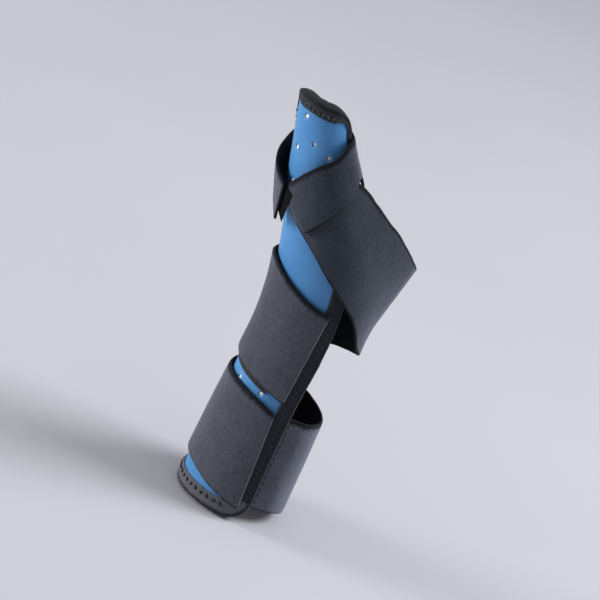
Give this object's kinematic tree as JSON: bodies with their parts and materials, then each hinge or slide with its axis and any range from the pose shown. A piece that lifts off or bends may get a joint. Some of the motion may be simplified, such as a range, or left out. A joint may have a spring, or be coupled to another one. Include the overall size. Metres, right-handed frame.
{
  "type": "wrist splint",
  "caption": "Left-hand thumb-spica wrist splint: perforated blue gutter shell with padded dark edges, closed by wide velour straps at forearm, wrist and palm, and thumb.",
  "frame": {"origin": "centre of the forearm opening, level with the elbow-side end of the shell", "axes": "+Z along the forearm toward the hand, -X toward the thumb, -Y out of the palm; the splint is for a left hand"},
  "size_m": [0.1116, 0.0775, 0.2618],
  "materials": {
    "shell_blue": "satin, moulded, perforated",
    "foam": "soft closed-cell foam",
    "lining_cloth": "brushed knit",
    "binding_cloth": "soft folded binding",
    "thread": "heavy thread",
    "strap_velour": "short velour pile",
    "hook_tape": "nylon hook tape"
  },
  "bodies": {
    "splint": {"shell": "shell_blue", "foam_pad": "foam", "lining": "lining_cloth", "thumb_collar": "binding_cloth", "proximal_cuff": "binding_cloth", "palmar_edge_binding": "binding_cloth", "dorsal_edge_binding": "binding_cloth", "collar_stitches": "thread", "cuff_stitches": "thread", "palmar_edge_stitches": "thread", "dorsal_edge_stitches": "thread", "forearm_strap": "strap_velour", "forearm_strap_root_stitches": "thread", "palm_wrist_strap": "strap_velour", "palm_strap_end_hook": "hook_tape", "thumb_strap": "strap_velour"},
    "forearm_flap": {"forearm_strap_flap": "strap_velour", "forearm_strap_hook": "hook_tape"},
    "wrist_flap": {"wrist_strap_flap": "strap_velour", "wrist_strap_hook": "hook_tape"},
    "thumb_tab": {"thumb_strap_tab": "strap_velour", "thumb_strap_hook": "hook_tape"}
  },
  "joints": [
    {"name": "forearm_flap_peel", "type": "hinge", "parent": "splint", "child": "forearm_flap", "pos_m": [-0.03397, 0.0007, 0.0483], "axis": [-0.0243, 0.0003, -0.9997], "range_deg": [0, 100]},
    {"name": "wrist_flap_peel", "type": "hinge", "parent": "splint", "child": "wrist_flap", "pos_m": [-0.0383, 0.00129, 0.12445], "axis": [0.0542, 0.0134, -0.9984], "range_deg": [0, 100]},
    {"name": "thumb_tab_peel", "type": "hinge", "parent": "splint", "child": "thumb_tab", "pos_m": [-0.05797, 0.00053, 0.2072], "axis": [0.2923, 0.1011, -0.951], "range_deg": [0, 90]}
  ]
}
